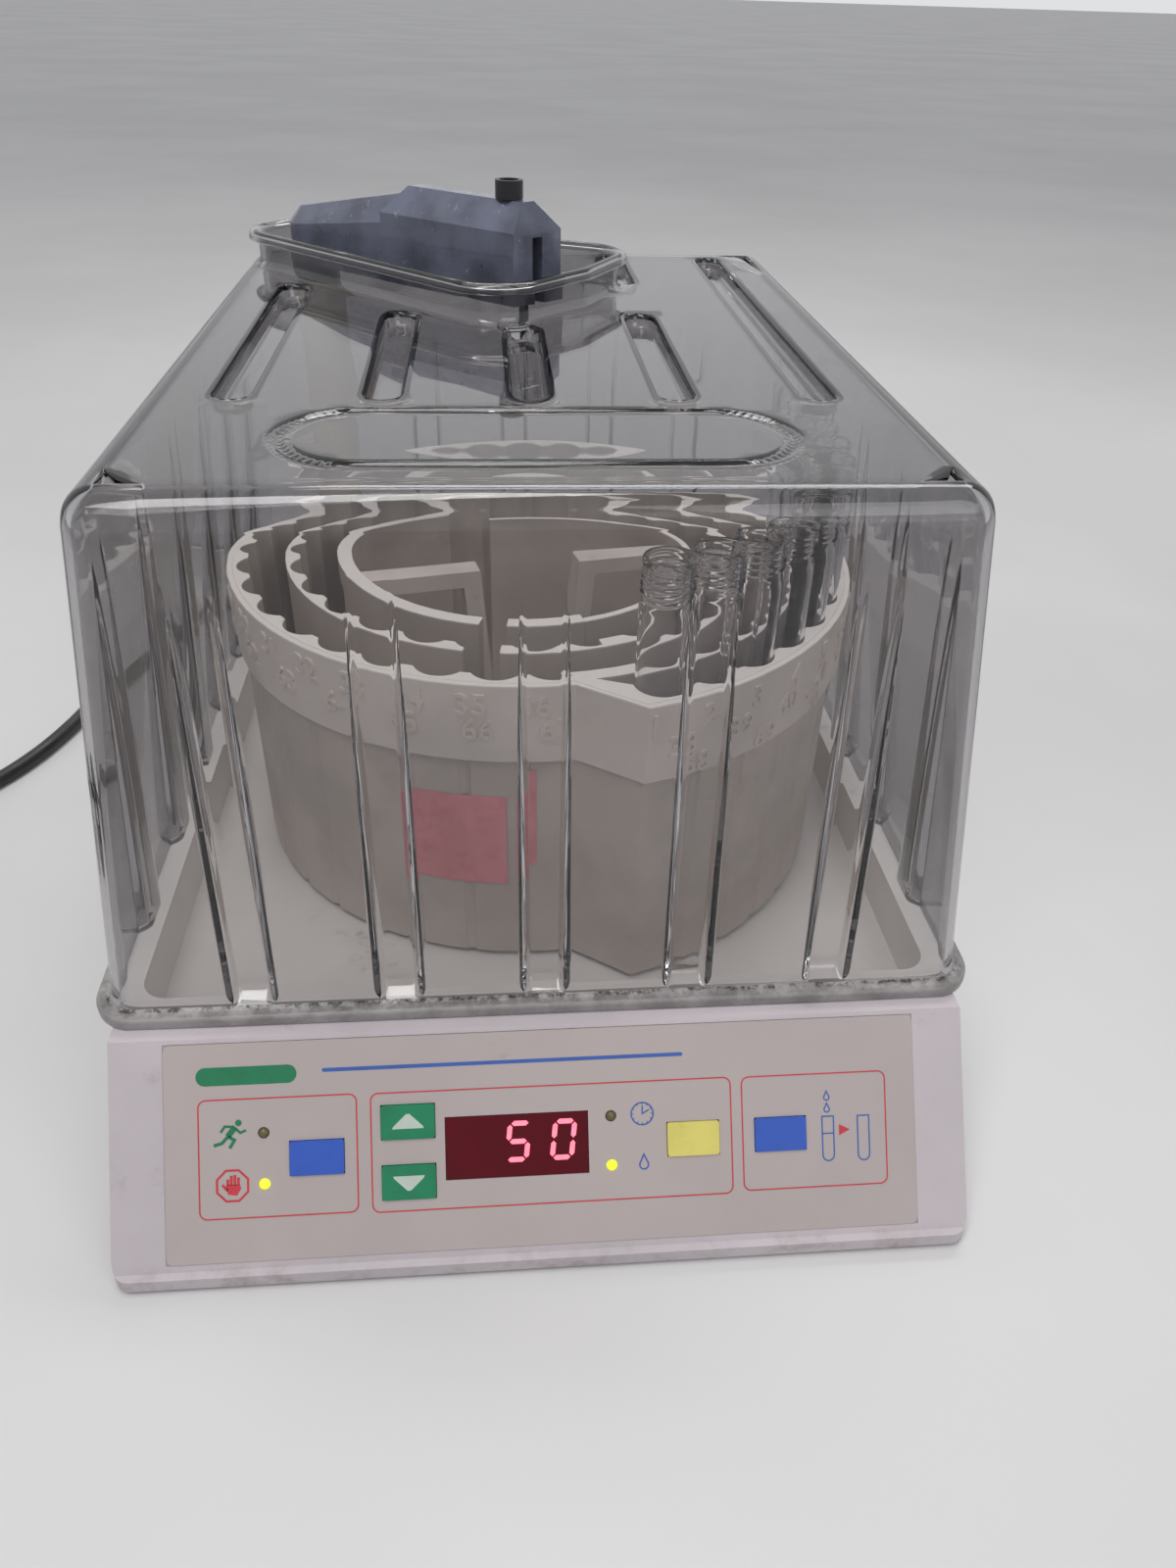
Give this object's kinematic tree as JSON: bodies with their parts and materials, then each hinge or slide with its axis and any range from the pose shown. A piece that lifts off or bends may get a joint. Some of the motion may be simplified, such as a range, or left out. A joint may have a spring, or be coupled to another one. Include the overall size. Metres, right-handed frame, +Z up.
{
  "type": "fraction collector",
  "caption": "Bench fraction collector: a spiral tube rack turns on a low base and a swinging arm drops fractions into its tubes, under a lift-off smoky clear cover.",
  "frame": {"origin": "on the surface the feet stand on, under the middle of the body's box (without the mains lead)", "axes": "+Z up; -Y towards the front panel and the user; +X to the user's right"},
  "size_m": [0.5168, 0.486, 0.2553],
  "materials": {
    "base_paint": "satin",
    "grey_steel": "satin",
    "foot_rubber": "matte",
    "screw_steel": "satin",
    "tray_plastic": "matte",
    "overlay_film": "satin",
    "red_window": "polished",
    "display_red": "polished",
    "lamp": "polished",
    "key_blue": "satin",
    "key_green": "satin",
    "key_yellow": "satin",
    "board": "satin",
    "winding": "satin",
    "motor_steel": "satin",
    "brass": "satin",
    "gear_plastic": "matte",
    "shaft_steel": "polished",
    "bronze": "satin",
    "hub_plastic": "matte",
    "rack_plastic": "matte",
    "label_paper": "matte",
    "post_plastic": "matte",
    "arm_paint": "satin",
    "black_plastic": "satin",
    "smoky_clear": "polished",
    "tube_glass": "polished",
    "cord_black": "matte"
  },
  "bodies": {
    "base": {"base_shell": "base_paint", "bottom_plate": "grey_steel", "rubber_feet": "foot_rubber", "base_screws": "screw_steel", "deck_tray": "tray_plastic", "front_overlay": "overlay_film", "display_window": "red_window", "digit_display": "display_red", "status_lamps": "lamp", "control_board": "board", "transformer": "winding", "rack_motor": "motor_steel", "spindle_bushes": "bronze", "arm_motor": "motor_steel", "arm_post": "post_plastic", "arm_bushes": "bronze", "power_inlet": "black_plastic", "switch_frame": "black_plastic", "cord_connector": "cord_black", "power_cord": "cord_black", "cord_coil": "cord_black", "mains_plug": "cord_black"},
    "turntable": {"drive_gear": "gear_plastic", "spindle": "shaft_steel", "turntable_hub": "hub_plastic", "rack_floor": "rack_plastic", "rack_rim": "rack_plastic", "rack_wall_outer": "rack_plastic", "rack_wall_middle": "rack_plastic", "rack_wall_inner": "rack_plastic", "rack_wall_core": "rack_plastic", "rack_handles": "rack_plastic", "rack_label": "label_paper", "tube_01": "tube_glass", "tube_02": "tube_glass", "tube_03": "tube_glass", "tube_04": "tube_glass", "tube_05": "tube_glass", "tube_06": "tube_glass", "tube_07": "tube_glass", "tube_08": "tube_glass", "tube_09": "tube_glass", "tube_10": "tube_glass"},
    "rack_drive_pinion": {"rack_pinion": "brass"},
    "arm": {"arm_sector": "gear_plastic", "arm_shaft": "shaft_steel", "arm_hub": "arm_paint", "arm_beam": "arm_paint", "drip_nozzle": "black_plastic"},
    "arm_drive_pinion": {"arm_pinion": "brass"},
    "tube_clamp_screw": {"thumb_screw": "black_plastic"},
    "cover": {"dust_cover": "smoky_clear"},
    "start_key": {"key_start": "key_blue"},
    "up_key": {"key_up": "key_green"},
    "down_key": {"key_down": "key_green"},
    "mode_key": {"key_mode": "key_yellow"},
    "step_key": {"key_step": "key_blue"},
    "rocker": {"switch_rocker": "black_plastic"}
  },
  "joints": [
    {"name": "rack_spin", "type": "hinge", "parent": "base", "child": "turntable", "pos_m": [0, -0.007, 0.05], "axis": [0, 0, 1], "continuous": true},
    {"name": "rack_pinion_spin", "type": "hinge", "parent": "base", "child": "rack_drive_pinion", "pos_m": [0.045, -0.007, 0.015], "axis": [0, 0, 1], "continuous": true},
    {"name": "arm_swing", "type": "hinge", "parent": "base", "child": "arm", "pos_m": [-0.082, 0.138, 0.216], "axis": [0, 0, 1], "range_deg": [-8, 19.5]},
    {"name": "arm_pinion_spin", "type": "hinge", "parent": "base", "child": "arm_drive_pinion", "pos_m": [-0.05442, 0.11042, 0.015], "axis": [0, 0, 1], "range_deg": [-66, 28]},
    {"name": "screw_turn", "type": "hinge", "parent": "arm", "child": "tube_clamp_screw", "pos_m": [-0.00324, 0.06856, 0.25], "axis": [0, 0, 1], "range_deg": [0, 720]},
    {"name": "cover_lift", "type": "slide", "parent": "base", "child": "cover", "axis": [0, 0, 1], "range_m": [0, 0.25]},
    {"name": "start_key_press", "type": "slide", "parent": "base", "child": "start_key", "axis": [0, 0.8028, -0.5962], "range_m": [0, 0.0004], "stiffness_N_per_m": 1500, "springref_m": -0.0004},
    {"name": "up_key_press", "type": "slide", "parent": "base", "child": "up_key", "axis": [0, 0.8028, -0.5962], "range_m": [0, 0.0004], "stiffness_N_per_m": 1500, "springref_m": -0.0004},
    {"name": "down_key_press", "type": "slide", "parent": "base", "child": "down_key", "axis": [0, 0.8028, -0.5962], "range_m": [0, 0.0004], "stiffness_N_per_m": 1500, "springref_m": -0.0004},
    {"name": "mode_key_press", "type": "slide", "parent": "base", "child": "mode_key", "axis": [0, 0.8028, -0.5962], "range_m": [0, 0.0004], "stiffness_N_per_m": 1500, "springref_m": -0.0004},
    {"name": "step_key_press", "type": "slide", "parent": "base", "child": "step_key", "axis": [0, 0.8028, -0.5962], "range_m": [0, 0.0004], "stiffness_N_per_m": 1500, "springref_m": -0.0004},
    {"name": "rocker_tilt", "type": "hinge", "parent": "base", "child": "rocker", "pos_m": [-0.04, 0.1868, 0.03], "axis": [1, 0, 0], "range_deg": [0, 12]}
  ],
  "couplings": [
    {"joint": "rack_pinion_spin", "follows": "rack_spin", "ratio": -4},
    {"joint": "arm_pinion_spin", "follows": "arm_swing", "ratio": -3.3333}
  ]
}
